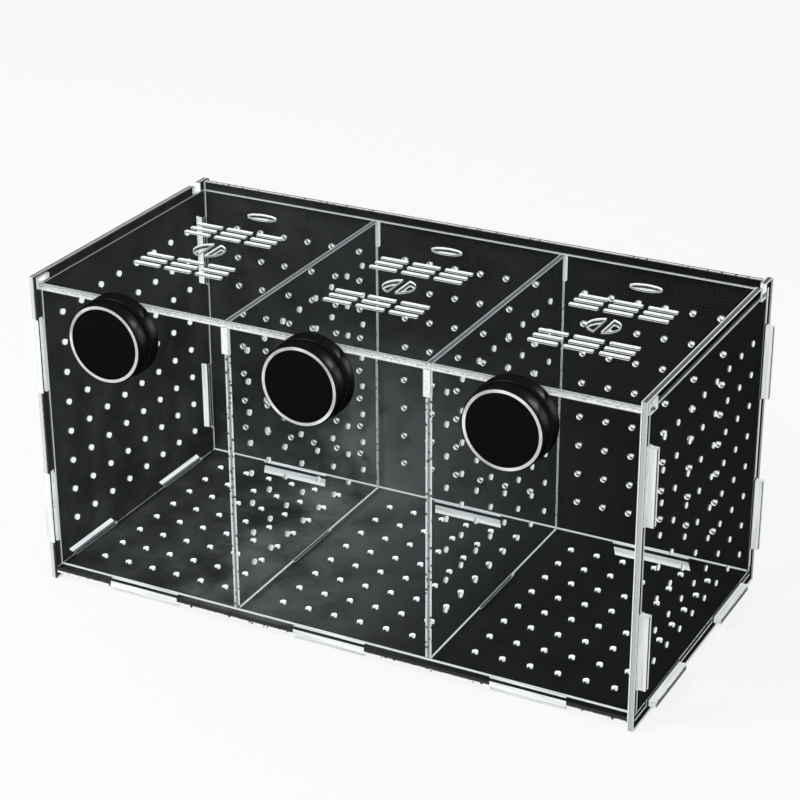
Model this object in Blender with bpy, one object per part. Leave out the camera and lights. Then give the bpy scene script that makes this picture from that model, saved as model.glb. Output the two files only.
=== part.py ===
"""Three-compartment fish breeding box of laser-cut clear sheet, with a hinged lid and three
pairs of round holding magnets on the front. Metres, Z up, standing on z = 0."""
import math

import bmesh
import bpy
from mathutils import Vector

# Whole box
WIDTH = 0.300           # over the outer faces of the two end panels
DEPTH = 0.144           # front panel's outer face to back panel's outer face
HEIGHT = 0.155          # end and back panels' top edge above the table
SHEET = 0.003           # every flat piece is cut from this sheet
FIT = 0.0003            # gap left between pieces that touch
RIM = 0.003             # end panels and base reach this far past front and back panels
PROUD = 0.0035          # tenons stand this far out of the sheet they pass through
COMPARTMENTS = 3

# Joinery
TENON = 0.036           # length of every tenon
LOW_TENON = 0.0375      # table to the middle of the lower side tenons
HIGH_TENON = 0.0393     # top edge to the middle of the upper side tenons
BASE_TENONS = 0.080     # between the middles of the base's two tenons on a side
DIVIDER_EAR = 0.0125    # height of the ears that hang a divider in front and back panels
LID_FRONT_EAR = 0.003   # length of the lid's front ears, which it swings on
LID_BACK_EAR = 0.0048   # length of its back ears, which only rest in their notches
LID_EAR_SET = 0.00275   # from the back panel to the near side of a back ear
EAR_SLOT = 0.0080       # the end panels' front ear slots end this far behind the front panel
EAR_ROOM = 0.0023       # room above a front ear, which lets it turn in its slot
HINGE_SET = 0.001       # lid's front edge to the line it swings about, at its top face

# Water holes
HOLE = 0.003            # diameter
HOLE_SIDES = 5
ROW_PITCH = 0.0153      # up the walls and front to back
COLUMN_PITCH = 0.0135   # along the width
HOLE_BORDER = 0.014     # least distance from an inner corner to a hole's middle

# Lid openings, one set for each third of the width
GROUP_OFFSET = 0.022    # middle of the lid to the middle of each slot group
SLOT = (0.0136, 0.002)
SLOT_PITCH = (0.0166, 0.00575)
SLOTS = 3               # per row, and rows per group
LOOK_HOLE = 0.0153      # diameter of the round opening
LOOK_BAR = 0.0035       # bar left across it
FINGER_HOLE = (0.0156, 0.007)
FINGER_SET = 0.0217     # middle of the finger hole to the lid's back edge
CURVE_SIDES = 14

# Magnet pairs, distances measured along their axis from the front panel's outer face
MAGNET_SHIFTS = (-0.0039, -0.0038, -0.0074)  # off the middle of each compartment
MAGNET_DROP = 0.0195    # box's top edge to the magnets' axis
MAGNET_NAMES = ("left", "centre", "right")
STACK = 0.0155          # face of the trim ring
HOLDER_RADIUS = 0.0194
HOLDER_DEPTH = 0.0078   # height of the half that stays on the box
CAP_RADIUS = 0.0188
CAP_FRONT = 0.0153      # front edge of the removable half
SHOULDER = 0.0014       # roll of the holder's front edge
EDGE = 0.0006           # small chamfers on the housings
WALL = 0.0016           # housing wall
FLOOR = 0.0018          # housing floor
PAD = 0.0012            # rubber pad in the mouth of each half
CORE_RADIUS = 0.0150
RING_RADII = (0.0163, 0.0182)
RING_DEPTH = 0.0010
FACE_SINK = 0.0004      # face disc lies this far below the ring
FACE_DEPTH = 0.0006
ROUND_SIDES = 24
CORE_SIDES = 16
SMOOTH_ANGLE = math.radians(35)
MERGE = 0.00001

# Levels and planes that follow from the sizes
HALF_WIDTH = WIDTH / 2
FRONT = -(DEPTH + RIM - STACK) / 2
BACK = FRONT + DEPTH
MIDDLE = (FRONT + BACK) / 2
BASE_TOP = PROUD + SHEET
LID_TOP = HEIGHT - PROUD
LID_BOTTOM = LID_TOP - SHEET
WALL_TOP = LID_BOTTOM - FIT
BAY = (WIDTH - SHEET) / COMPARTMENTS
BAYS = (-BAY, 0, BAY)
SIDE_TENONS = (LOW_TENON, HEIGHT - HIGH_TENON)
LID_BACK = BACK - SHEET - FIT
MAGNET_Z = HEIGHT - MAGNET_DROP
WALL_MIDDLE = (BASE_TOP + WALL_TOP) / 2
SHEET_AXES = {"x": (1, 2, 0), "y": (0, 2, 1), "z": (0, 1, 2)}


def material(name, colour, roughness, metallic=0, transmission=0):
    """A Principled surface with its own name."""
    found = bpy.data.materials.new(name)
    found.use_nodes = True
    shader = found.node_tree.nodes["Principled BSDF"]
    shader.inputs["Base Color"].default_value = (*colour, 1)
    shader.inputs["Roughness"].default_value = roughness
    shader.inputs["Metallic"].default_value = metallic
    shader.inputs["Transmission Weight"].default_value = transmission
    return found


def finish(bm, name, surface, origin):
    """Turns a bmesh into a named object whose origin lies at the given point."""
    bmesh.ops.translate(bm, verts=bm.verts, vec=-Vector(origin))
    bmesh.ops.recalc_face_normals(bm, faces=bm.faces)
    mesh = bpy.data.meshes.new(name)
    bm.to_mesh(mesh)
    bm.free()
    mesh.materials.append(surface)
    made = bpy.data.objects.new(name, mesh)
    made.location = origin
    bpy.context.collection.objects.link(made)
    return made


def box_loop(middle, size):
    """Corners of a rectangle, anticlockwise."""
    u, v = middle
    du, dv = size[0] / 2, size[1] / 2
    return [(u - du, v - dv), (u + du, v - dv), (u + du, v + dv), (u - du, v + dv)]


def arc_loop(middle, size, sides, start=0, sweep=2 * math.pi):
    """Points on an ellipse; a partial sweep keeps both ends."""
    steps = sides if sweep == 2 * math.pi else sides + 1
    turns = [start + sweep * i / sides for i in range(steps)]
    return [(middle[0] + size[0] / 2 * math.cos(a), middle[1] + size[1] / 2 * math.sin(a))
            for a in turns]


def edge_path(start, end, steps):
    """Points along one edge of an anticlockwise outline, without its end. Each step (near,
    far, reach) is a tenon that stands out by reach, or a notch where reach is negative."""
    start, end = Vector(start), Vector(end)
    along = (end - start).normalized()
    out = Vector((along.y, -along.x))
    points = [start]
    for near, far, reach in steps:
        near, far = start + along * near, start + along * far
        points += [near, near + out * reach, far + out * reach, far]
    kept = []
    for point in points:
        if not kept or (point - kept[-1]).length > MERGE:
            kept.append(point)
    return [tuple(point) for point in kept]


def centred(middles, length, reach):
    """Steps for edge_path around a row of middles."""
    return [(m - length / 2, m + length / 2, reach) for m in middles]


def lattice(middle, pitches, counts):
    """Middles of a rectangular field of holes."""
    spots = []
    for i in range(counts[0]):
        for j in range(counts[1]):
            u = middle[0] + (i - (counts[0] - 1) / 2) * pitches[0]
            v = middle[1] + (j - (counts[1] - 1) / 2) * pitches[1]
            spots.append((u, v))
    return spots


def fitting(room, pitch):
    """How many holes fit in a row along a wall between its corners."""
    return int((room - 2 * HOLE_BORDER) / pitch) + 1


def hole_loops(spots):
    """The round water holes around the given middles."""
    return [arc_loop(spot, (HOLE, HOLE), HOLE_SIDES, math.pi / 2) for spot in spots]


def cut_sheet(name, axis, near, outline, cuts, surface, origin=None):
    """A flat piece: the outline and its cut-outs filled, then drawn out to sheet thickness
    along the axis, starting at the near plane. Its origin is its middle if none is given."""
    first, second, third = SHEET_AXES[axis]
    bm = bmesh.new()
    for loop in [outline] + cuts:
        verts = []
        for u, v in loop:
            spot = [0, 0, 0]
            spot[first], spot[second], spot[third] = u, v, near
            verts.append(bm.verts.new(spot))
        for i, vert in enumerate(verts):
            bm.edges.new((vert, verts[i - 1]))
    bmesh.ops.triangle_fill(bm, use_beauty=True, edges=bm.edges)
    grown = bmesh.ops.extrude_face_region(bm, geom=bm.faces[:])
    moved = [item for item in grown["geom"] if isinstance(item, bmesh.types.BMVert)]
    step = [0, 0, 0]
    step[third] = SHEET
    bmesh.ops.translate(bm, verts=moved, vec=step)
    if not origin:
        us, vs = [u for u, v in outline], [v for u, v in outline]
        origin = [0, 0, 0]
        origin[first] = (min(us) + max(us)) / 2
        origin[second] = (min(vs) + max(vs)) / 2
        origin[third] = near + SHEET / 2
    return finish(bm, name, surface, origin)


def turned(name, profile, x, surface, sides):
    """A round piece: its (radius, distance) profile spun about the magnet axis."""
    bm = bmesh.new()
    verts = [bm.verts.new((radius, -depth, 0)) for radius, depth in profile]
    edges = [bm.edges.new((verts[i], verts[i + 1])) for i in range(len(verts) - 1)]
    if profile[0][0] > 0:
        edges.append(bm.edges.new((verts[-1], verts[0])))
    bmesh.ops.spin(bm, geom=verts + edges, axis=(0, 1, 0), cent=(0, 0, 0), steps=sides,
                   angle=2 * math.pi, use_merge=True)
    bmesh.ops.remove_doubles(bm, verts=bm.verts, dist=MERGE)
    bmesh.ops.translate(bm, verts=bm.verts, vec=(x, FRONT, MAGNET_Z))
    depths = [depth for radius, depth in profile]
    made = finish(bm, name, surface, (x, FRONT - min(depths), MAGNET_Z))
    made.select_set(True)
    bpy.context.view_layer.objects.active = made
    bpy.ops.object.shade_smooth_by_angle(angle=SMOOTH_ANGLE)
    made.select_set(False)
    return made


def base_plate(surface):
    """Floor of the box: takes the bottom tenons of all upright panels."""
    half = HALF_WIDTH - SHEET - FIT
    near, far = FRONT - RIM, BACK + RIM
    tenons = centred((MIDDLE - near - BASE_TENONS / 2, MIDDLE - near + BASE_TENONS / 2),
                     TENON, SHEET + FIT + PROUD)
    outline = edge_path((-half, near), (half, near), [])
    outline += edge_path((half, near), (half, far), tenons)
    outline += edge_path((half, far), (-half, far), [])
    outline += edge_path((-half, far), (-half, near), tenons)
    across = (TENON + 2 * FIT, SHEET + 2 * FIT)
    counts = (fitting(BAY - SHEET, COLUMN_PITCH), fitting(DEPTH - 2 * SHEET, ROW_PITCH))
    cuts = []
    for x in BAYS:
        cuts.append(box_loop((x, FRONT + SHEET / 2), across))
        cuts.append(box_loop((x, BACK - SHEET / 2), across))
        cuts += hole_loops(lattice((x, MIDDLE), (COLUMN_PITCH, ROW_PITCH), counts))
    for x in (-BAY / 2, BAY / 2):
        cuts.append(box_loop((x, MIDDLE), (across[1], across[0])))
    return cut_sheet("base_plate", "z", PROUD, outline, cuts, surface)


def upright_outline(top, top_steps):
    """Outline shared by front and back panels: side and bottom tenons."""
    half = HALF_WIDTH - SHEET - FIT
    low = BASE_TOP + FIT
    side = SHEET + FIT + PROUD
    bottom = centred([x + half for x in BAYS], TENON, low)
    rising = centred([z - low for z in SIDE_TENONS], TENON, side)
    falling = centred([top - z for z in reversed(SIDE_TENONS)], TENON, side)
    outline = edge_path((-half, low), (half, low), bottom)
    outline += edge_path((half, low), (half, top), rising)
    outline += edge_path((half, top), (-half, top), top_steps)
    outline += edge_path((-half, top), (-half, low), falling)
    return outline


def front_panel(surface):
    """Plain front wall, open-topped notches for the divider ears."""
    half = HALF_WIDTH - SHEET - FIT
    notches = centred([half - BAY / 2, half + BAY / 2], SHEET + 2 * FIT, -(DIVIDER_EAR + FIT))
    outline = upright_outline(WALL_TOP, notches)
    return cut_sheet("front_panel", "y", FRONT, outline, [], surface)


def back_panel(surface):
    """Drilled back wall that rises past the lid, closed slots for the divider ears. Its holes
    keep one pitch along the whole width, with a column left out at each divider."""
    outline = upright_outline(HEIGHT, [])
    ear = (SHEET + 2 * FIT, DIVIDER_EAR + 2 * FIT)
    cuts = [box_loop((x, WALL_TOP - DIVIDER_EAR / 2), ear) for x in (-BAY / 2, BAY / 2)]
    counts = (fitting(BAY - SHEET, COLUMN_PITCH), fitting(WALL_TOP - BASE_TOP, ROW_PITCH))
    field = (counts[0] + 1) * COLUMN_PITCH
    for x in (-field, 0, field):
        cuts += hole_loops(lattice((x, WALL_MIDDLE), (COLUMN_PITCH, ROW_PITCH), counts))
    return cut_sheet("back_panel", "y", BACK - SHEET, outline, cuts, surface)


def lid_ears():
    """Front and back ear of the lid as (near, far) distances from its front edge."""
    back = DEPTH - SHEET - LID_EAR_SET
    return (0, LID_FRONT_EAR), (back - LID_BACK_EAR, back)


def side_holes():
    """Holes of an end panel or a divider."""
    counts = (fitting(DEPTH - 2 * SHEET, ROW_PITCH), fitting(WALL_TOP - BASE_TOP, ROW_PITCH))
    return hole_loops(lattice((MIDDLE, WALL_MIDDLE), (ROW_PITCH, ROW_PITCH), counts))


def end_panel(name, near, surface):
    """Drilled end wall and foot: closed slots for the tenons and, with room to turn, for the
    lid's front ear; an open-topped notch for the lid's back ear."""
    front, back = FRONT - RIM, BACK + RIM
    start, stop = lid_ears()[1]
    notch = (back - FRONT - stop - FIT, back - FRONT - start + FIT, -(HEIGHT - WALL_TOP))
    outline = edge_path((front, 0), (back, 0), [])
    outline += edge_path((back, 0), (back, HEIGHT), [])
    outline += edge_path((back, HEIGHT), (front, HEIGHT), [notch])
    outline += edge_path((front, HEIGHT), (front, 0), [])
    slot_top = LID_TOP + EAR_ROOM
    cuts = [box_loop((FRONT + (EAR_SLOT - FIT) / 2, (WALL_TOP + slot_top) / 2),
                     (EAR_SLOT + FIT, slot_top - WALL_TOP))]
    slot = (SHEET + 2 * FIT, TENON + 2 * FIT)
    for z in SIDE_TENONS:
        cuts.append(box_loop((FRONT + SHEET / 2, z), slot))
        cuts.append(box_loop((BACK - SHEET / 2, z), slot))
    for y in (MIDDLE - BASE_TENONS / 2, MIDDLE + BASE_TENONS / 2):
        cuts.append(box_loop((y, PROUD + SHEET / 2), (slot[1], slot[0])))
    return cut_sheet(name, "x", near, outline, cuts + side_holes(), surface)


def divider(name, x, surface):
    """Drilled partition, hung by two ears and pinned by one bottom tenon."""
    low = BASE_TOP + FIT
    near, far = FRONT + SHEET + FIT, BACK - SHEET - FIT
    ear = SHEET + FIT
    tall = WALL_TOP - low
    outline = edge_path((near, low), (far, low), centred([MIDDLE - near], TENON, low))
    outline += edge_path((far, low), (far, WALL_TOP), [(tall - DIVIDER_EAR, tall, ear)])[:-1]
    outline += edge_path((near, WALL_TOP), (near, low), [(0, DIVIDER_EAR, ear)])[1:]
    return cut_sheet(name, "x", x - SHEET / 2, outline, side_holes(), surface)


def look_hole(middle):
    """A round opening split by a bar: two half-moons."""
    reach = math.acos(LOOK_BAR / LOOK_HOLE)
    size = (LOOK_HOLE, LOOK_HOLE)
    sides = CURVE_SIDES // 2
    return [arc_loop(middle, size, sides, turn - reach, 2 * reach) for turn in (0, math.pi)]


def lid_panel(surface):
    """Hinged lid with slots, half-moons and a finger hole over each compartment."""
    half = HALF_WIDTH - SHEET - FIT
    reach = SHEET + FIT
    ears = [(start, stop, reach) for start, stop in lid_ears()]
    mirrored = [(LID_BACK - FRONT - stop, LID_BACK - FRONT - start, reach)
                for start, stop in reversed(lid_ears())]
    outline = edge_path((half, FRONT), (half, LID_BACK), ears)[1:]
    outline += edge_path((half, LID_BACK), (-half, LID_BACK), [])
    outline += edge_path((-half, LID_BACK), (-half, FRONT), mirrored)[:-1]
    cuts = []
    for x in (-WIDTH / COMPARTMENTS, 0, WIDTH / COMPARTMENTS):
        middle = (x, (FRONT + LID_BACK) / 2)
        for side in (-GROUP_OFFSET, GROUP_OFFSET):
            spots = lattice((x, middle[1] + side), SLOT_PITCH, (SLOTS, SLOTS))
            cuts += [box_loop(spot, SLOT) for spot in spots]
        cuts += look_hole(middle)
        cuts.append(arc_loop((x, LID_BACK - FINGER_SET), FINGER_HOLE, CURVE_SIDES))
    return cut_sheet("lid_panel", "z", LID_BOTTOM, outline, cuts, surface,
                     (0, FRONT + HINGE_SET, LID_TOP))


def holder_half(side, x, plastic, magnet, rubber):
    """Box-side half of a pair: cup bonded to the front panel, magnet and pad in its mouth."""
    mouth = HOLDER_RADIUS - WALL
    pad_top = HOLDER_DEPTH - FIT / 2
    pad_foot = pad_top - PAD
    turned(side + "_holder_cup", [
        (0, FIT), (HOLDER_RADIUS - EDGE, FIT), (HOLDER_RADIUS, FIT + EDGE),
        (HOLDER_RADIUS, HOLDER_DEPTH - FIT - SHOULDER),
        (HOLDER_RADIUS - SHOULDER / 2, HOLDER_DEPTH - FIT),
        (mouth, HOLDER_DEPTH - FIT), (mouth, FLOOR), (0, FLOOR)], x, plastic, ROUND_SIDES)
    turned(side + "_holder_core", [
        (0, FLOOR + FIT), (CORE_RADIUS, FLOOR + FIT),
        (CORE_RADIUS, pad_foot - FIT), (0, pad_foot - FIT)], x, magnet, CORE_SIDES)
    turned(side + "_holder_pad", [
        (0, pad_foot), (mouth - FIT, pad_foot),
        (mouth - FIT, pad_top), (0, pad_top)], x, rubber, ROUND_SIDES)


def cap_half(side, x, plastic, magnet, rubber, trim, gloss):
    """Removable half of a pair: cup that opens towards the box, ring and disc on its face."""
    mouth = CAP_RADIUS - WALL
    pad_near = HOLDER_DEPTH + FIT / 2
    pad_far = pad_near + PAD
    inner, outer = RING_RADII
    ring_seat = STACK - RING_DEPTH - FIT
    face_top = STACK - FACE_SINK
    face_seat = face_top - FACE_DEPTH
    ceiling = ring_seat - FLOOR + FIT
    turned(side + "_cap_cup", [
        (0, ceiling), (mouth, ceiling), (mouth, HOLDER_DEPTH + FIT),
        (CAP_RADIUS - EDGE, HOLDER_DEPTH + FIT), (CAP_RADIUS, HOLDER_DEPTH + FIT + EDGE),
        (CAP_RADIUS, CAP_FRONT - EDGE / 2), (CAP_RADIUS - EDGE / 2, CAP_FRONT),
        (outer + FIT / 2, CAP_FRONT), (outer + FIT / 2, ring_seat), (0, ring_seat)],
        x, plastic, ROUND_SIDES)
    turned(side + "_cap_core", [
        (0, pad_far + FIT), (CORE_RADIUS, pad_far + FIT),
        (CORE_RADIUS, ceiling - FIT), (0, ceiling - FIT)], x, magnet, CORE_SIDES)
    turned(side + "_cap_pad", [
        (0, pad_near), (mouth - FIT, pad_near),
        (mouth - FIT, pad_far), (0, pad_far)], x, rubber, ROUND_SIDES)
    turned(side + "_trim_ring", [
        (inner, STACK - RING_DEPTH), (outer, STACK - RING_DEPTH),
        (outer, STACK - EDGE / 2), (outer - EDGE / 2, STACK), (inner, STACK)],
        x, trim, ROUND_SIDES)
    turned(side + "_face_disc", [
        (0, face_seat), (inner - FIT, face_seat),
        (inner - FIT, face_top), (0, face_top)], x, gloss, ROUND_SIDES)


def build():
    for thing in list(bpy.data.objects):
        bpy.data.objects.remove(thing, do_unlink=True)
    acrylic = material("clear_acrylic", (0.86, 0.90, 0.92), 0.04, transmission=0.9)
    plastic = material("black_plastic", (0.02, 0.02, 0.022), 0.42)
    gloss = material("gloss_black_plastic", (0.008, 0.008, 0.009), 0.12)
    trim = material("bright_trim", (0.80, 0.81, 0.83), 0.18, metallic=1)
    magnet = material("plated_magnet", (0.60, 0.61, 0.62), 0.30, metallic=1)
    rubber = material("black_rubber", (0.03, 0.03, 0.03), 0.80)
    base_plate(acrylic)
    front_panel(acrylic)
    back_panel(acrylic)
    end_panel("left_end_panel", -HALF_WIDTH, acrylic)
    end_panel("right_end_panel", HALF_WIDTH - SHEET, acrylic)
    divider("left_divider", -BAY / 2, acrylic)
    divider("right_divider", BAY / 2, acrylic)
    lid_panel(acrylic)
    for side, bay, shift in zip(MAGNET_NAMES, BAYS, MAGNET_SHIFTS):
        holder_half(side, bay + shift, plastic, magnet, rubber)
        cap_half(side, bay + shift, plastic, magnet, rubber, trim, gloss)


build()
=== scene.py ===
import math

import bpy
from mathutils import Matrix, Vector


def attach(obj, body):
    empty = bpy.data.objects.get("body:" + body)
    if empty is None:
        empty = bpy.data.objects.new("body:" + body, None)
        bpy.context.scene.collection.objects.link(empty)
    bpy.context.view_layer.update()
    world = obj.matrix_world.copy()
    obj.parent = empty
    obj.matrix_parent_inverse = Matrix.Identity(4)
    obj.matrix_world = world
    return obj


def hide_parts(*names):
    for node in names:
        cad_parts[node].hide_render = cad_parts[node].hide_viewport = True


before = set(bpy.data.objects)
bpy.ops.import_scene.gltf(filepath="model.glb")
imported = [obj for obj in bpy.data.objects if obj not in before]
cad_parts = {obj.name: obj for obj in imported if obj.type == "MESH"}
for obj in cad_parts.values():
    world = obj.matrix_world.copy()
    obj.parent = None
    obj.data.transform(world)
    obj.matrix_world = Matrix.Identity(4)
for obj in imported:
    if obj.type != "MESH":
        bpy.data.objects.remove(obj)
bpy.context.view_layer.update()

# ------------------------------------------------------------------ base plate
# The floor of the box: 3 mm clear cast acrylic, laser cut, so its edges and the walls of its
# holes are frosted white. Its side tenons are pushed through the end panels and its slots take
# the bottom tenons of the panels and dividers; water holes are drilled under each compartment.
SHEET = 0.003
GAP = 0.0003
HOLE_RADIUS = 0.0014
HOLE_SIDES = 20
ROW_PITCH = 0.0153
COLUMN_PITCH = 0.0135
HOLE_ROWS, HOLE_COLUMNS = 8, 6
TENON = 0.036
SLOT_ACROSS = SHEET / 2 + GAP
SLOT_ALONG = TENON / 2 + GAP
FRONT, BACK, MIDDLE = -0.06575, 0.07825, 0.00625
BASE_LOW, BASE_HIGH = 0.0035, 0.0065
LID_LOW, LID_HIGH = 0.1485, 0.1515
WALL_LOW, WALL_HIGH = 0.0068, 0.1482
BODY_HALF = 0.1467
HALF_WIDTH = 0.150
TENON_TIP = 0.1535
TENON_ROOT = 0.1400
RIM = 0.003
BAY = 0.099
BAYS = (-BAY, 0, BAY)
FOOT_SHIFT = 0.0012
TENON_SHIFT = 0.040
BASE_TENONS = (MIDDLE - TENON_SHIFT, MIDDLE + TENON_SHIFT)
WALL_TENONS = (0.0375, 0.1157)
BASE_REACH = 0.010
NEAR_ZERO = 0.0001
AXES = {"x": 0, "y": 1, "z": 2}
OUTER, INNER, EDGE, WALL, SLIT, RIM_EDGE, TOP_EDGE, TIP, SIDE_TENON, FOOT_TENON = range(10)


def block(low, high):
    """A square block between two corners, with its place kept in its mesh."""
    bpy.ops.object.select_all(action="DESELECT")
    size = [abs(b - a) for a, b in zip(low, high)]
    middle = [(a + b) / 2 for a, b in zip(low, high)]
    bpy.ops.mesh.primitive_cube_add(size=1, location=middle, scale=size)
    bpy.ops.object.transform_apply(location=True, rotation=True, scale=True)
    return bpy.context.active_object


def rod(middle, axis, radius, sides, length=0.009):
    """A round tool that lies along an axis."""
    bpy.ops.object.select_all(action="DESELECT")
    turn = {"x": (0, math.pi / 2, 0), "y": (math.pi / 2, 0, 0), "z": (0, 0, 0)}[axis]
    bpy.ops.mesh.primitive_cylinder_add(vertices=sides, radius=radius, depth=length,
                                        location=middle, rotation=turn)
    bpy.ops.object.transform_apply(location=True, rotation=True, scale=True)
    return bpy.context.active_object


def only(piece):
    """Selects one piece and nothing else."""
    bpy.ops.object.select_all(action="DESELECT")
    piece.select_set(True)
    bpy.context.view_layer.objects.active = piece


def apply_modifiers(piece):
    """Turns a piece's modifiers into mesh."""
    only(piece)
    for modifier in list(piece.modifiers):
        bpy.ops.object.modifier_apply(modifier=modifier.name)


def first_place(middle, *steps):
    """Where the first of a row of tools lies when the row is centred on its middle."""
    return [at - sum((count - 1) / 2 * offset[n] for count, offset in steps)
            for n, at in enumerate(middle)]


def row(tool, *steps):
    """Repeats a tool: each step is how many, and how far apart."""
    for count, offset in steps:
        array = tool.modifiers.new("row", "ARRAY")
        array.count = count
        array.use_relative_offset = False
        array.use_constant_offset = True
        array.constant_offset_displace = offset
    apply_modifiers(tool)
    return tool


def mark(tool, index):
    """Sets the surface index that a tool's faces leave on the sheet they cut."""
    for n in range(SLIT + 1):
        tool.data.materials.append(None)
    for face in tool.data.polygons:
        face.material_index = index
    return tool


def shape(piece, operation, *tools):
    """Joins tools to a piece, or takes them out of it."""
    for tool in tools:
        step = piece.modifiers.new("step", "BOOLEAN")
        step.operation, step.solver, step.object = operation, "EXACT", tool
        apply_modifiers(piece)
        bpy.data.objects.remove(tool)


def split(piece, spot, normal):
    """Splits the faces of a blank along a plane, so that each side can be finished apart."""
    only(piece)
    bpy.ops.object.mode_set(mode="EDIT")
    bpy.ops.mesh.select_all(action="SELECT")
    bpy.ops.mesh.bisect(plane_co=spot, plane_no=normal)
    bpy.ops.object.mode_set(mode="OBJECT")


def score(piece, axis, *places):
    """Splits the faces of a blank square to an axis, at each of some places."""
    for place in places:
        spot, normal = [0, 0, 0], [0, 0, 0]
        spot[AXES[axis]], normal[AXES[axis]] = place, 1
        split(piece, spot, normal)


def drill(axis, middle, *steps):
    """A field of round holes about its middle."""
    hole = rod(first_place(middle, *steps), axis, HOLE_RADIUS, HOLE_SIDES)
    return row(mark(hole, WALL), *steps)


def add_node(material, kind, settings={}, links={}):
    """Adds a node to a material, with its settings and what feeds its sockets."""
    node = material.node_tree.nodes.new(kind)
    for name, value in settings.items():
        if isinstance(name, int) or name in node.inputs:
            node.inputs[name].default_value = value
        else:
            setattr(node, name, value)
    for name, source in links.items():
        material.node_tree.links.new(source, node.inputs[name])
    return node


def linear(code):
    """An sRGB hex value as the linear colour that a socket takes."""
    parts = [int(code[i:i + 2], 16) / 255 for i in (1, 3, 5)]
    return tuple(c / 12.92 if c <= 0.04045 else ((c + 0.055) / 1.055) ** 2.4
                 for c in parts) + (1,)


def new_material(name):
    """A material with nothing in it but its output."""
    material = bpy.data.materials.new(name)
    material.use_nodes = True
    material.node_tree.nodes.remove(material.node_tree.nodes["Principled BSDF"])
    return material


def show(material, shader):
    """Makes a shader node the surface of its material."""
    out = material.node_tree.nodes["Material Output"]
    material.node_tree.links.new(shader.outputs[0], out.inputs["Surface"])
    return material


def tones(material, source, *stops):
    """A colour that runs through (place, tone) stops as a pattern rises."""
    tone = add_node(material, "ShaderNodeValToRGB", {}, {"Fac": source})
    points = tone.color_ramp.elements
    for n, (at, code) in enumerate(stops):
        point = points[n] if n < 2 else points.new(at)
        point.position, point.color = at, linear(code)
    return tone.outputs["Color"]


def let_lamps_through(material, shader, tint):
    """Clear acrylic passes the light of lamps and of the room on to what is behind it."""
    path = add_node(material, "ShaderNodeLightPath")
    light_only = add_node(material, "ShaderNodeMath", {"operation": "MAXIMUM"},
                          {0: path.outputs["Is Shadow Ray"], 1: path.outputs["Is Diffuse Ray"]})
    passed = add_node(material, "ShaderNodeBsdfTransparent", {"Color": linear(tint)})
    return add_node(material, "ShaderNodeMixShader", {},
                    {0: light_only.outputs[0], 1: shader.outputs[0], 2: passed.outputs[0]})


def polished(material, gloss_tone):
    """Polished acrylic: bends what is seen through it and has a faint gloss."""
    bend = add_node(material, "ShaderNodeBsdfRefraction",
                    {"Color": linear("#fcfdfd"), "Roughness": 0.0, "IOR": 1.49})
    gloss = add_node(material, "ShaderNodeBsdfAnisotropic",
                     {"Color": linear(gloss_tone), "Roughness": 0.12})
    edge_on = add_node(material, "ShaderNodeLayerWeight", {"Blend": 0.10})
    return add_node(material, "ShaderNodeMixShader", {},
                    {0: edge_on.outputs["Fresnel"], 1: bend.outputs[0], 2: gloss.outputs[0]})


def clear_acrylic():
    """Inner faces and dividers: clear from both sides."""
    material = new_material("cast_acrylic_inner_face")
    return show(material, let_lamps_through(material, polished(material, "#4c5052"), "#fafbfb"))


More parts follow.
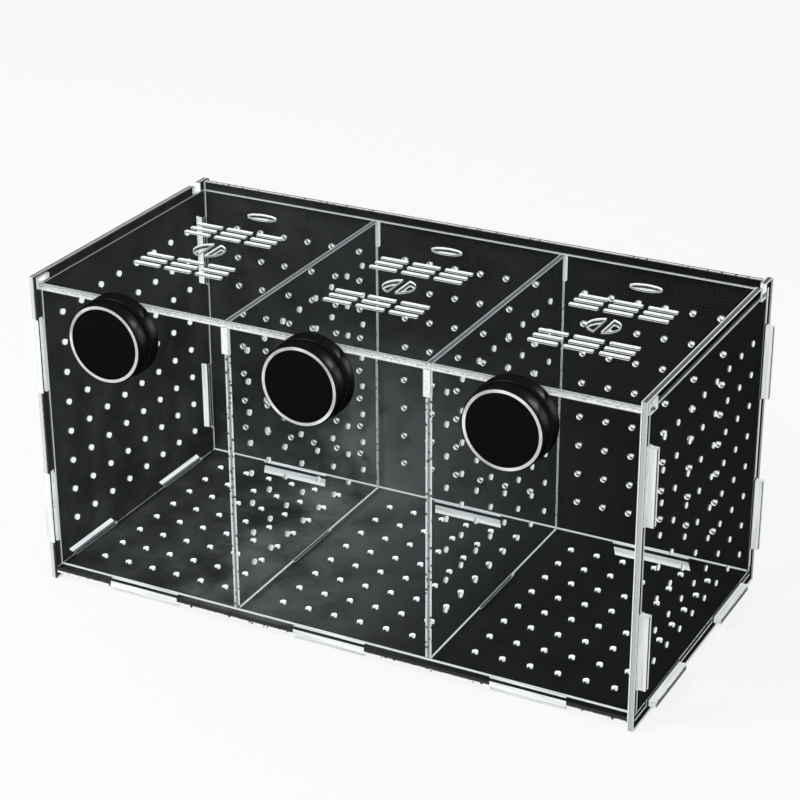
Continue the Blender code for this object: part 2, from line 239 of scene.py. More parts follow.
def acrylic_with_painted_backdrop(name, gloss_tone):
    """Outer faces: clear from outside. Seen from within, across the box, they are painted dark:
    a painted backdrop that stands in for the dark surroundings, greyer low down and to the
    left, with cloudy patches of 2-4 cm."""
    material = new_material(name)
    place = add_node(material, "ShaderNodeTexCoord")
    backdrop_clouds = add_node(material, "ShaderNodeTexNoise",
                      {"Scale": 32.0, "Detail": 5.0, "Roughness": 0.62},
                      {"Vector": place.outputs["Object"]})
    parts = add_node(material, "ShaderNodeSeparateXYZ", {}, {"Vector": place.outputs["Object"]})
    along = add_node(material, "ShaderNodeMapRange",
                     {"From Min": -HALF_WIDTH, "From Max": HALF_WIDTH, "To Min": -0.2,
                      "To Max": 0.8}, {"Value": parts.outputs["X"]})
    cloudy = add_node(material, "ShaderNodeMath", {"operation": "MULTIPLY_ADD", 1: 0.40},
                      {0: backdrop_clouds.outputs["Fac"], 2: along.outputs["Result"]})
    # Painted backdrop tones: greyer low down and to the left, darker high up and to the right.
    low_down = tones(material, cloudy.outputs[0], (0.0, "#3c3d3d"), (0.20, "#4e4f4f"),
                     (0.34, "#787979"), (0.46, "#686969"), (0.60, "#3c3d3d"), (0.72, "#242525"),
                     (1.0, "#131414"))
    high_up = tones(material, cloudy.outputs[0], (0.0, "#3c3d3d"), (0.27, "#393a3a"),
                    (0.42, "#313232"), (0.58, "#2b2c2c"), (0.72, "#1c1d1d"), (1.0, "#101111"))
    rise = add_node(material, "ShaderNodeMapRange", {"From Min": 0.045, "From Max": 0.095},
                    {"Value": parts.outputs["Z"]})
    tone = add_node(material, "ShaderNodeMix", {"data_type": "RGBA"},
                    {0: rise.outputs["Result"], 6: low_down, 7: high_up}).outputs[2]
    backdrop_patches = tones(material, backdrop_clouds.outputs["Fac"], (0.36, "#a0a0a0"), (0.66, "#ffffff"))
    tone = add_node(material, "ShaderNodeMix", {"data_type": "RGBA", "blend_type": "MULTIPLY",
                                                0: 1.0}, {6: tone, 7: backdrop_patches}).outputs[2]
    # The matt painted dark backdrop, which lets a faint share of what is behind show through.
    dark = add_node(material, "ShaderNodeBsdfPrincipled",
                    {"Roughness": 0.6, "Specular IOR Level": 0.0}, {"Base Color": tone})
    faint = add_node(material, "ShaderNodeBsdfTransparent", {"Color": linear("#ffffff")})
    painted_dark_backdrop = add_node(material, "ShaderNodeMixShader", {0: 0.008},
                       {1: dark.outputs[0], 2: faint.outputs[0]})
    side = add_node(material, "ShaderNodeNewGeometry")
    seen = add_node(material, "ShaderNodeMixShader", {},
                    {0: side.outputs["Backfacing"], 1: polished(material, gloss_tone).outputs[0],
                     2: painted_dark_backdrop.outputs[0]})
    return show(material, let_lamps_through(material, seen, "#f0f2f2"))


def frosted(name, low, high, glow, stretch=(900.0, 900.0, 900.0)):
    """Laser-cut acrylic: satin white with a fine grit of about 1 mm, and a painted glow: emission
    that stands in for the light that the clear sheet carries to its cut faces."""
    material = new_material(name)
    place = add_node(material, "ShaderNodeTexCoord")
    lay = add_node(material, "ShaderNodeMapping", {"Scale": stretch},
                   {"Vector": place.outputs["Object"]})
    grit = add_node(material, "ShaderNodeTexNoise",
                    {"Scale": 1.0, "Detail": 2.0, "Roughness": 0.5},
                    {"Vector": lay.outputs["Vector"]})
    tone = tones(material, grit.outputs["Fac"], (0.34, low), (0.60, high))
    # The tone is also emitted as a painted glow.
    return show(material, add_node(
        material, "ShaderNodeBsdfPrincipled",
        {"Roughness": 0.5, "Specular IOR Level": 0.3, "Emission Strength": glow},
        {"Base Color": tone, "Emission Color": tone}))


def cut_edge(name, axis, near, stops, specks="", glow=0.16, rough=0.16, flanks=0.0):
    """A cut edge with painted lines that run along it: painted highlights at its corners, and a
    middle painted dark for the dark behind it that would show through. Stops go across the
    sheet's thickness, from 0 to 1, and rough blurs them. Some edges have specks about 2 mm
    apart. Some bores get a painted highlight on their sides, and painted shade where they are
    seen through the sheet. Glow is painted light: the tone is also emitted."""
    specks_from = 0.93
    reach = specks_from - 0.02 - rough
    seen_within = -0.38
    material = new_material(name)
    place = add_node(material, "ShaderNodeTexCoord")
    parts = add_node(material, "ShaderNodeSeparateXYZ", {}, {"Vector": place.outputs["Object"]})
    across = add_node(material, "ShaderNodeMapRange",
                      {"From Min": near, "From Max": near + SHEET, "To Min": 0.0,
                       "To Max": reach}, {"Value": parts.outputs[axis.upper()]})
    chips = add_node(material, "ShaderNodeTexNoise", {"Scale": 800.0, "Detail": 2.0},
                     {"Vector": place.outputs["Object"]})
    lines = add_node(material, "ShaderNodeMath", {"operation": "MULTIPLY_ADD", 1: rough},
                     {0: chips.outputs["Fac"], 2: across.outputs["Result"]})
    stops = [(rough / 2 + reach * at, code) for at, code in stops]
    # Painted highlight on the sides of a bore, and painted shade where it is seen through the
    # sheet.
    if flanks:
        turned_to = add_node(material, "ShaderNodeSeparateXYZ", {},
                             {"Vector": place.outputs["Normal"]})
        sideways = add_node(material, "ShaderNodeMath", {"operation": "ABSOLUTE"},
                            {0: turned_to.outputs["X"]})
        lines = add_node(material, "ShaderNodeMath", {"operation": "MULTIPLY_ADD", 1: flanks},
                         {0: sideways.outputs[0], 2: lines.outputs[0]})
        side = add_node(material, "ShaderNodeNewGeometry")
        lines = add_node(material, "ShaderNodeMath",
                         {"operation": "MULTIPLY_ADD", 1: seen_within},
                         {0: side.outputs["Backfacing"], 2: lines.outputs[0]})
    if specks:
        cells = add_node(material, "ShaderNodeTexVoronoi", {"Scale": 420.0},
                         {"Vector": place.outputs["Object"]})
        inside = add_node(material, "ShaderNodeMath", {"operation": "LESS_THAN", 1: 0.30},
                          {0: cells.outputs["Distance"]})
        lines = add_node(material, "ShaderNodeMath", {"operation": "ADD"},
                         {0: inside.outputs[0], 1: lines.outputs[0]})
        stops += [(specks_from, stops[-1][1]), (specks_from + 0.05, specks)]
    tone = tones(material, lines.outputs[0], *stops)
    # The tone is also emitted as a painted glow.
    return show(material, add_node(
        material, "ShaderNodeBsdfPrincipled",
        {"Roughness": 0.45, "Specular IOR Level": 0.2, "Emission Strength": glow},
        {"Base Color": tone, "Emission Color": tone}))


# Polished faces of the cast sheet; the outer faces have a painted dark backdrop on their inner
# side. The gloss of the end panels is fainter.
INNER_FACE = clear_acrylic()
OUTER_FACE = acrylic_with_painted_backdrop("cast_acrylic_outer_face", "#4c5052")
END_FACE = acrylic_with_painted_backdrop("cast_acrylic_end_face", "#1e2021")
# Laser-cut walls, and tenons with the faint streaks that the cut leaves along them, all with a
# painted glow.
SAWN = frosted("laser_cut_wall", "#ced2d4", "#eef0f0", 0.20)
TENON_X = frosted("frosted_tenon_along", "#ced2d4", "#eff1f1", 0.22, (40.0, 900.0, 900.0))
TENON_Y = frosted("frosted_tenon_across", "#ced2d4", "#eff1f1", 0.22, (900.0, 40.0, 900.0))


def between_joints(spot):
    """True where a sheet has the inside of the box behind it."""
    return (FRONT < spot.y < BACK and BASE_LOW < spot.z < LID_HIGH
            and abs(spot.x) < HALF_WIDTH - RIM / 2)


def near_any(value, places, reach):
    """True where a value lies within reach of one of some places."""
    return any(abs(value - place) < reach for place in places)


def surface_of(face, across, outward, rims):
    """Which surface a face of a cut sheet has. The rims look frosted where a tenon lies behind
    them. A tenon is clear inside its slot, but for the front wall's and the lid's."""
    spot, normal = face.center, face.normal
    if abs(normal[across]) > 0.9:
        if across != 0 and abs(spot.x) > BODY_HALF:
            all_frosted = spot.z > WALL_HIGH or across == 1 and outward < 0
            return SIDE_TENON if all_frosted or abs(spot.x) > HALF_WIDTH else INNER
        if spot.z < WALL_LOW and across == 1:
            return FOOT_TENON
        turned_in = normal[across] * outward < 0 and between_joints(spot)
        return INNER if turned_in or not outward else OUTER
    if face.material_index in (WALL, SLIT):
        by_front = across == 0 and spot.y < FRONT + SHEET + RIM
        return EDGE if by_front and face.material_index == SLIT else face.material_index
    if across != 0 and abs(normal.x) > 0.9 and abs(spot.x) > BODY_HALF - NEAR_ZERO:
        return TIP
    if normal.z > 0.9 and spot.z > WALL_HIGH - NEAR_ZERO:
        return TOP_EDGE
    if abs(normal.y) > 0.9 and near_any(spot.y, rims, NEAR_ZERO):
        if across == 2 and spot.z < LID_LOW and near_any(spot.x - FOOT_SHIFT, BAYS, SLOT_ALONG):
            return FOOT_TENON
        beside_tenon = across == 0 and outward < 0 and near_any(spot.z, WALL_TENONS, SLOT_ALONG)
        return SIDE_TENON if beside_tenon else RIM_EDGE
    return EDGE


def finish_sheet(sheet, name, node, axis, outward, rims, cuts, edges, tenons, body="box"):
    """Gives each face of a cut sheet its surface and the sheet its body, and hides the CAD node
    that it stands in for. Outward is +1 or -1, the side of the axis that faces out of the box,
    or 0 for a divider. Rims are where its front and back edges lie. Cuts are the walls of holes
    and of slots; edges are those of the rims, of the top and of the ends; tenons those at the
    sides and at the foot."""
    sheet.name = sheet.data.name = name
    surfaces = [surface_of(face, AXES[axis], outward, rims) for face in sheet.data.polygons]
    sheet.data.materials.clear()
    outer = END_FACE if axis == "x" else OUTER_FACE
    for material in (outer, INNER_FACE, SAWN, *cuts, *edges, *tenons):
        sheet.data.materials.append(material)
    for face, surface in zip(sheet.data.polygons, surfaces):
        face.material_index = surface
    only(sheet)
    bpy.ops.object.shade_smooth_by_angle(angle=math.radians(35))
    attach(sheet, body)
    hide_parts(node)


base = mark(block((-BODY_HALF, FRONT - RIM, BASE_LOW), (BODY_HALF, BACK + RIM, BASE_HIGH)), EDGE)
for side in (-1, 1):
    tenon = block((side * TENON_ROOT, BASE_TENONS[0] - TENON / 2, BASE_LOW),
                  (side * TENON_TIP, BASE_TENONS[0] + TENON / 2, BASE_HIGH))
    shape(base, "UNION", row(tenon, (2, (0, 2 * TENON_SHIFT, 0))))
# Before each back tenon the base's underside is left without its painted dark backdrop, askew,
# so that the tenon's frosted foot shows through the sheet.
FOOT_VIEW = (BACK - SHEET - 0.0090, BACK - SHEET - 0.0016)
FOOT_SKEW = 0.518
score(base, "x", -HALF_WIDTH, -BODY_HALF, BODY_HALF, HALF_WIDTH,
      *[x + FOOT_SHIFT + side * SLOT_ALONG for x in BAYS for side in (-1, 1)])
score(base, "y", *FOOT_VIEW)
for x in BAYS:
    for side in (-1, 1):
        split(base, (x + side * TENON / 2, BACK - SHEET, 0), (1, FOOT_SKEW, 0))
panel_slots = mark(block((-BAY - SLOT_ALONG, FRONT - GAP, 0),
                         (-BAY + SLOT_ALONG, FRONT + SHEET + GAP, BASE_REACH)), SLIT)
divider_slots = mark(block((-BAY / 2 - SLOT_ACROSS, MIDDLE - SLOT_ALONG, 0),
                           (-BAY / 2 + SLOT_ACROSS, MIDDLE + SLOT_ALONG, BASE_REACH)), SLIT)
shape(base, "DIFFERENCE",
      row(panel_slots, (3, (BAY, 0, 0)), (2, (0, BACK - FRONT - SHEET, 0))),
      row(divider_slots, (2, (BAY, 0, 0))),
      drill("z", (0, MIDDLE, (BASE_LOW + BASE_HIGH) / 2), (HOLE_COLUMNS, (COLUMN_PITCH, 0, 0)),
            (HOLE_ROWS, (0, ROW_PITCH, 0)), (3, (BAY, 0, 0))))
# The base's laser-cut edges and the walls of its holes and slots, painted with the highlights
# and shade they show seen at a slant, and with a painted glow.
BASE_RIM = cut_edge("base_edge", "z", BASE_LOW, [
    (0.0, "#f0f2f2"), (0.28, "#dfe2e3"), (0.38, "#2a2b2c"), (1.0, "#1b1c1d")], "#2c2d2e")
BASE_TIP = cut_edge("base_end_edge", "z", BASE_LOW, [
    (0.0, "#242526"), (0.66, "#2b2c2d"), (0.78, "#d8dbdc"), (1.0, "#e6e9ea")], "#2c2d2e")
BASE_HOLES = cut_edge("base_hole_wall", "z", BASE_LOW, [
    (0.0, "#303132"), (0.68, "#3a3b3c"), (0.82, "#eceeef"), (1.0, "#f8fafa")], glow=0.35,
    flanks=1.3)
BASE_SLOTS = cut_edge("base_slot_wall", "z", BASE_LOW, [
    (0.0, "#242526"), (0.76, "#242526"), (0.86, "#e2e5e6"), (1.0, "#f0f2f2")], glow=0.25)
finish_sheet(base, "floor_sheet", "base_plate", "z", -1, (FRONT - RIM, BACK + RIM),
             (BASE_HOLES, BASE_SLOTS), (BASE_RIM, SAWN, BASE_TIP), (TENON_Y, TENON_X))
for face in base.data.polygons:
    spot = face.center
    along = spot.x + (spot.y - BACK + SHEET) * FOOT_SKEW
    if (face.normal.z < -0.9 and FOOT_VIEW[0] < spot.y < FOOT_VIEW[1]
            and near_any(along, BAYS, TENON / 2)):
        face.material_index = INNER

# ------------------------------------------------------------------ front and back panels
# The two long walls, laser cut from the same sheet. Two tenons at each side pass through the
# end panels and three at the bottom through the base. The front is plain, with open notches for
# the dividers' ears; the back is drilled, rises past the lid, and has closed slots for them.
TOP = 0.155
WALL_MIDDLE = 0.07735
EAR_TALL = 0.0125
FOOT_ROOT = 0.020
TENON_RISE = WALL_TENONS[1] - WALL_TENONS[0]
FIELD_PITCH = 7 * COLUMN_PITCH


def long_wall(near, far, top):
    """A wall blank with its side and bottom tenons."""
    wall = mark(block((-BODY_HALF, near, WALL_LOW), (BODY_HALF, far, top)), EDGE)
    for side in (-1, 1):
        tenon = block((side * TENON_ROOT, near, WALL_TENONS[0] - TENON / 2),
                      (side * TENON_TIP, far, WALL_TENONS[0] + TENON / 2))
        shape(wall, "UNION", row(tenon, (2, (0, 0, TENON_RISE))))
    foot = block((-BAY - TENON / 2, near, 0), (-BAY + TENON / 2, far, FOOT_ROOT))
    shape(wall, "UNION", row(foot, (3, (BAY, 0, 0))))
    score(wall, "x", -HALF_WIDTH, -BODY_HALF, BODY_HALF, HALF_WIDTH)
    score(wall, "z", WALL_LOW)
    return wall


# An upright frosted tenon, with the same painted glow.
TENON_Z = frosted("frosted_tenon_upright", "#ced2d4", "#eff1f1", 0.22, (900.0, 900.0, 40.0))
front = long_wall(FRONT, FRONT + SHEET, WALL_HIGH)
notches = block((-BAY / 2 - SLOT_ACROSS, FRONT - RIM, WALL_HIGH - EAR_TALL - GAP),
                (-BAY / 2 + SLOT_ACROSS, FRONT + 2 * RIM, TOP + RIM))
shape(front, "DIFFERENCE", row(notches, (2, (BAY, 0, 0))))
# The front panel's end edges are painted dark on their outer half and bright on their inner half:
# painted shade and a painted highlight, with a painted glow.
FRONT_TIP = cut_edge("front_panel_end_edge", "y", FRONT, [
    (0.0, "#2c2d2e"), (0.52, "#2c2d2e"), (0.62, "#e2e5e6"), (1.0, "#f0f2f2")])
finish_sheet(front, "front_sheet", "front_panel", "y", -1, (), (SAWN, SAWN),
             (SAWN, SAWN, FRONT_TIP), (TENON_Z, TENON_X))

back = long_wall(BACK - SHEET, BACK, TOP)
score(back, "z", LID_HIGH)
ear_slots = block((-BAY / 2 - SLOT_ACROSS, BACK - 2 * RIM, WALL_HIGH - EAR_TALL - GAP),
                  (-BAY / 2 + SLOT_ACROSS, BACK + RIM, WALL_HIGH + GAP))
shape(back, "DIFFERENCE", row(ear_slots, (2, (BAY, 0, 0))),
      drill("y", (0, BACK - SHEET / 2, WALL_MIDDLE), (HOLE_COLUMNS, (COLUMN_PITCH, 0, 0)),
            (HOLE_ROWS, (0, 0, ROW_PITCH)), (3, (FIELD_PITCH, 0, 0))))
# The back panel's top and end edges and its hole walls are painted with light and shade across
# the thickness: painted highlights, painted dark bands, and a painted glow.
BACK_TOP = cut_edge("back_panel_top_edge", "y", BACK - SHEET, [
    (0.0, "#2c2d2e"), (0.26, "#2c2d2e"), (0.36, "#d8dbdc"), (0.66, "#d8dbdc"),
    (0.76, "#2a2b2c"), (1.0, "#242525")], "#2c2d2e")
BACK_TIP = cut_edge("back_panel_end_edge", "y", BACK - SHEET, [
    (0.0, "#2c2d2e"), (0.52, "#2c2d2e"), (0.62, "#e2e5e6"), (1.0, "#f0f2f2")])
BACK_HOLES = cut_edge("back_hole_wall", "y", BACK - SHEET, [
    (0.0, "#f4f6f6"), (0.32, "#e6e9ea"), (0.46, "#2c2d2e"), (1.0, "#1e1f20")], glow=0.35)
finish_sheet(back, "back_sheet", "back_panel", "y", 1, (), (BACK_HOLES, SAWN),
             (SAWN, BACK_TOP, BACK_TIP), (TENON_Z, TENON_X))

# ------------------------------------------------------------------ end panels
# The two end walls, which also stand as the feet. Closed slots hold the tenons of the base and
# of the long walls. The lid swings on its front ears in two larger closed slots, and its back
# ears drop into open notches in the top edge.
LID_BACK = 0.07495
FRONT_EAR = (0, 0.003)
BACK_EAR = (0.13345, 0.13825)
EAR_SLOT = (0.008, 0.1538)
# Inside each base tenon and each back tenon the left end's outer face is left without its
# painted dark backdrop, askew, so that the tenon's frosted tip shows through.
LYING_VIEW, UPRIGHT_VIEW = 0.0096, 0.0699
LYING_SKEW, UPRIGHT_SKEW = 1.61, 0.50


def end_wall(near, far):
    """An end wall with its holes, slots and notches."""
    wall = mark(block((near, FRONT - RIM, 0), (far, BACK + RIM, TOP)), EDGE)
    score(wall, "y", FRONT, BACK)
    score(wall, "z", BASE_LOW, LID_HIGH,
          *[z + side * SLOT_ALONG for z in WALL_TENONS for side in (-1, 1)], LYING_VIEW)
    score(wall, "y", UPRIGHT_VIEW)
    for y in BASE_TENONS:
        for side in (-1, 1):
            split(wall, (0, y + side * TENON / 2, BASE_HIGH), (0, 1, LYING_SKEW))
    for z in WALL_TENONS:
        for side in (-1, 1):
            split(wall, (0, BACK - SHEET, z + side * TENON / 2), (0, UPRIGHT_SKEW, 1))
    past = (near - RIM, far + RIM)
    upright = mark(block((past[0], FRONT - GAP, WALL_TENONS[0] - SLOT_ALONG),
                         (past[1], FRONT + SHEET + GAP, WALL_TENONS[0] + SLOT_ALONG)), SLIT)
    lying = mark(block((past[0], BASE_TENONS[0] - SLOT_ALONG, BASE_LOW - GAP),
                       (past[1], BASE_TENONS[0] + SLOT_ALONG, BASE_HIGH + GAP)), SLIT)
    ear_slot = block((past[0], FRONT - GAP, WALL_HIGH),
                     (past[1], FRONT + EAR_SLOT[0], EAR_SLOT[1]))
    notch = block((past[0], FRONT + BACK_EAR[0] - GAP, WALL_HIGH),
                  (past[1], FRONT + BACK_EAR[1] + GAP, TOP + RIM))
    shape(wall, "DIFFERENCE",
          row(upright, (2, (0, BACK - FRONT - SHEET, 0)), (2, (0, 0, TENON_RISE))),
          row(lying, (2, (0, 2 * TENON_SHIFT, 0))), ear_slot, notch,
          drill("x", ((near + far) / 2, MIDDLE, WALL_MIDDLE), (HOLE_ROWS, (0, ROW_PITCH, 0)),
                (HOLE_ROWS, (0, 0, ROW_PITCH))))
    return wall


# The ends' laser-cut edges and the walls of their holes and slots are painted with different
# light and shade from left to right, as the light comes from one side: painted highlights and
# painted dark bands across the thickness, and a painted glow.
LEFT_RIM = cut_edge("left_end_front_edge", "x", -HALF_WIDTH, [
    (0.0, "#9ea2a4"), (0.12, "#d4d7d8"), (0.54, "#c2c6c8"), (0.66, "#2a2b2c"),
    (1.0, "#1c1d1d")])
LEFT_TOP = cut_edge("left_end_top_edge", "x", -HALF_WIDTH, [
    (0.0, "#2a2b2c"), (0.30, "#2a2b2c"), (0.38, "#b4b7b9"), (0.56, "#b4b7b9"),
    (0.66, "#262728"), (1.0, "#202122")])
RIGHT_RIM = cut_edge("right_end_front_edge", "x", HALF_WIDTH - SHEET, [
    (0.0, "#eceeef"), (0.14, "#e4e6e7"), (0.24, "#6a6c6e"), (0.34, "#b4b8ba"),
    (0.66, "#a8acae"), (0.86, "#b8bcbe"), (1.0, "#d8dbdc")])
RIGHT_TOP = cut_edge("right_end_top_edge", "x", HALF_WIDTH - SHEET, [
    (0.0, "#e2e5e6"), (0.12, "#d4d7d8"), (0.22, "#3e4041"), (0.76, "#3e4041"),
    (0.86, "#d4d7d8"), (1.0, "#e2e5e6")])
LEFT_HOLES = cut_edge("left_end_hole_wall", "x", -HALF_WIDTH, [
    (0.0, "#e2e5e6"), (0.18, "#8a8d8f"), (0.36, "#8a8d8f"), (0.50, "#eef0f0"),
    (1.0, "#f8fafa")], glow=0.35)
RIGHT_HOLES = cut_edge("right_end_hole_wall", "x", HALF_WIDTH - SHEET, [
    (0.0, "#c4c8ca"), (0.18, "#3a3b3c"), (0.55, "#3a3b3c"), (0.68, "#eceeef"),
    (1.0, "#f8fafa")], glow=0.35)
LEFT_SLOTS = cut_edge("left_end_slot_wall", "x", -HALF_WIDTH, [
    (0.0, "#1c1d1e"), (0.80, "#242526"), (0.90, "#b8bcbe"), (1.0, "#d4d7d8")])
RIGHT_SLOTS = cut_edge("right_end_slot_wall", "x", HALF_WIDTH - SHEET, [
    (0.0, "#d4d7d8"), (0.10, "#b8bcbe"), (0.20, "#242526"), (1.0, "#1c1d1e")])
RIMS = (FRONT - RIM, BACK + RIM)
left_end = end_wall(-HALF_WIDTH, SHEET - HALF_WIDTH)
finish_sheet(left_end, "left_end_sheet", "left_end_panel", "x", -1, RIMS,
             (LEFT_HOLES, LEFT_SLOTS), (LEFT_RIM, LEFT_TOP, SAWN), (TENON_Z, TENON_X))
for face in left_end.data.polygons:
    spot = face.center
    along = spot.y + (spot.z - BASE_HIGH) * LYING_SKEW
    rise = spot.z + (spot.y - BACK + SHEET) * UPRIGHT_SKEW
    by_base = (BASE_HIGH < spot.z < LYING_VIEW
               and near_any(along, BASE_TENONS, TENON / 2))
    by_back = (UPRIGHT_VIEW < spot.y < BACK - SHEET
               and near_any(rise, WALL_TENONS, TENON / 2))
    if face.normal.x < -0.9 and (by_base or by_back):
        face.material_index = INNER
finish_sheet(end_wall(HALF_WIDTH - SHEET, HALF_WIDTH), "right_end_sheet", "right_end_panel", "x",
             1, RIMS, (RIGHT_HOLES, RIGHT_SLOTS), (RIGHT_RIM, RIGHT_TOP, SAWN),
             (TENON_Z, TENON_X))

# ------------------------------------------------------------------ dividers
# Two drilled partitions of the same sheet. Each hangs by two ears in the long walls and is
# pinned by one tenon in the base.
for name, x in (("left_divider", -BAY / 2), ("right_divider", BAY / 2)):
    near, far = x - SHEET / 2, x + SHEET / 2
    inside = (FRONT + SHEET + GAP, BACK - SHEET - GAP)
    partition = mark(block((near, inside[0], WALL_LOW), (far, inside[1], WALL_HIGH)), EDGE)
    shape(partition, "UNION",
          block((near, MIDDLE - TENON / 2, 0), (far, MIDDLE + TENON / 2, FOOT_ROOT)),
          block((near, FRONT, WALL_HIGH - EAR_TALL), (far, BACK, WALL_HIGH)))
    score(partition, "z", WALL_LOW)
    shape(partition, "DIFFERENCE",
          drill("x", (x, MIDDLE, WALL_MIDDLE), (HOLE_ROWS, (0, ROW_PITCH, 0)),
                (HOLE_ROWS, (0, 0, ROW_PITCH))))
    # The dividers' cut edges and hole walls are painted with light and shade across the
    # thickness: painted highlights at the corners, a painted darker middle, and a painted glow.
    front_edge = cut_edge(name + "_front_edge", "x", near, [
        (0.0, "#eceeef"), (0.22, "#e0e3e4"), (0.34, "#8e9294"), (0.66, "#8e9294"),
        (0.78, "#e0e3e4"), (1.0, "#eceeef")], "#5a5c5e")
    top_edge = cut_edge(name + "_top_edge", "x", near, [
        (0.0, "#c4c7c9"), (0.16, "#b8bcbe"), (0.26, "#686b6d"), (0.74, "#686b6d"),
        (0.84, "#b8bcbe"), (1.0, "#c4c7c9")])
    holes = cut_edge(name + "_hole_wall", "x", near, [
        (0.0, "#e2e5e6"), (0.20, "#c4c8ca"), (0.34, "#4c4d4e"), (0.54, "#4c4d4e"),
        (0.68, "#eceeef"), (1.0, "#f8fafa")], glow=0.35)
    finish_sheet(partition, name + "_sheet", name, "x", 0, inside, (holes, SAWN),
                 (front_edge, top_edge, SAWN), (TENON_Z, TENON_Y))

# ------------------------------------------------------------------ lid
# One hinged sheet that rests on the front wall and the dividers. It swings on its front ears;
# its back ears lie in the end walls' notches. Over each compartment it has two groups of slots,
# a round opening split by a bar, and an oval finger hole to lift it by.
SLOT_PITCH = (0.0166, 0.00575)
SLOT = (0.0136, 0.002)
GROUP_SHIFT = 0.022
LID_BAY = 0.1
LOOK_RADIUS = 0.00765
LOOK_BAR = 0.0035
FINGER = (0.0078, 0.0035)
FINGER_INSET = 0.0217
OPENING_SIDES = 48
LID_MIDDLE = (FRONT + LID_BACK) / 2
LID_LEVEL = (LID_LOW + LID_HIGH) / 2
lid = mark(block((-BODY_HALF, FRONT, LID_LOW), (BODY_HALF, LID_BACK, LID_HIGH)), EDGE)
for start, stop in (FRONT_EAR, BACK_EAR):
    shape(lid, "UNION", block((-HALF_WIDTH, FRONT + start, LID_LOW),
                              (HALF_WIDTH, FRONT + stop, LID_HIGH)))
score(lid, "x", -BODY_HALF, BODY_HALF)
steps = ((3, (SLOT_PITCH[0], 0, 0)), (3, (0, SLOT_PITCH[1], 0)), (2, (0, 2 * GROUP_SHIFT, 0)),
         (3, (LID_BAY, 0, 0)))
x, y, z = first_place((0, LID_MIDDLE, LID_LEVEL), *steps)
slots = block((x - SLOT[0] / 2, y - SLOT[1] / 2, LID_LOW - RIM),
              (x + SLOT[0] / 2, y + SLOT[1] / 2, LID_HIGH + RIM))
shape(lid, "DIFFERENCE", row(mark(slots, WALL), *steps))
for x in (-LID_BAY, 0, LID_BAY):
    opening = mark(rod((x, LID_MIDDLE, LID_LEVEL), "z", LOOK_RADIUS, OPENING_SIDES), WALL)
    bar = block((x - LOOK_BAR / 2, LID_MIDDLE - LOOK_RADIUS - RIM, LID_LOW - 2 * RIM),
                (x + LOOK_BAR / 2, LID_MIDDLE + LOOK_RADIUS + RIM, LID_HIGH + 2 * RIM))
    shape(opening, "DIFFERENCE", mark(bar, WALL))
    oval = mark(rod((0, 0, 0), "z", 1, OPENING_SIDES), WALL)
    oval.scale = (*FINGER, 1)
    oval.location = (x, LID_BACK - FINGER_INSET, LID_LEVEL)
    only(oval)
    bpy.ops.object.transform_apply(location=True, rotation=True, scale=True)
    shape(lid, "DIFFERENCE", opening, oval)
# The lid's cut edges and slot walls are painted with light and shade across the thickness:
# painted highlights, painted dark bands, and a painted glow.
LID_RIM = cut_edge("lid_front_edge", "z", LID_LOW, [
    (0.0, "#eceeef"), (0.28, "#d8dbdc"), (0.42, "#9a9ea0"), (0.58, "#dfe2e3"),
    (0.80, "#8e9294"), (1.0, "#b8bcbe")], rough=0.45)
LID_END = cut_edge("lid_end_edge", "z", LID_LOW, [
    (0.0, "#e2e5e6"), (0.30, "#d4d7d8"), (0.42, "#2c2d2e"), (1.0, "#242526")])
LID_SLOTS = cut_edge("lid_slot_wall", "z", LID_LOW, [
    (0.0, "#eceeef"), (0.20, "#dfe2e3"), (0.32, "#3a3b3c"), (0.62, "#3a3b3c"),
    (0.76, "#eceeef"), (1.0, "#f8fafa")], glow=0.35)
finish_sheet(lid, "lid_sheet", "lid_panel", "z", 1, (FRONT, LID_BACK), (LID_SLOTS, SAWN),
             (LID_RIM, SAWN, LID_END), (TENON_Y, TENON_X), "lid")

# ------------------------------------------------------------------ magnets
# Three pairs of round magnets in moulded black housings that hold the box to the glass: one
# half is bonded to the front wall, the other pulls off and has a bright ring and a black face.
MAGNET_Z = 0.1355
MAGNET_X = {"left": -0.1029, "centre": -0.0038, "right": 0.0916}
ROUND_SIDES = 72
BORE_MIDDLE, BORE_RADIUS, BORE_LENGTH = 0.015, 0.0167, 0.004


def turned(x, *profile):
    """A round piece: a disc drawn out towards the front along (radius, distance) points."""
    bpy.ops.object.select_all(action="DESELECT")
    radius, depth = profile[0]
    bpy.ops.mesh.primitive_circle_add(vertices=ROUND_SIDES, radius=radius, fill_type="NGON",
                                      location=(x, FRONT - depth, MAGNET_Z),
                                      rotation=(math.pi / 2, 0, 0))
    bpy.ops.object.transform_apply(location=True, rotation=True, scale=True)
    piece = bpy.context.active_object
    bpy.ops.object.mode_set(mode="EDIT")
    for next_radius, next_depth in profile[1:]:
        bpy.ops.mesh.extrude_region_move(
            TRANSFORM_OT_translate={"value": (0, depth - next_depth, 0)})
        bpy.ops.transform.resize(value=[next_radius / radius] * 3,
                                 center_override=(x, FRONT - next_depth, MAGNET_Z))
        radius, depth = next_radius, next_depth
    bpy.ops.mesh.select_all(action="SELECT")
    bpy.ops.mesh.normals_make_consistent(inside=False)
    bpy.ops.object.mode_set(mode="OBJECT")
    return piece


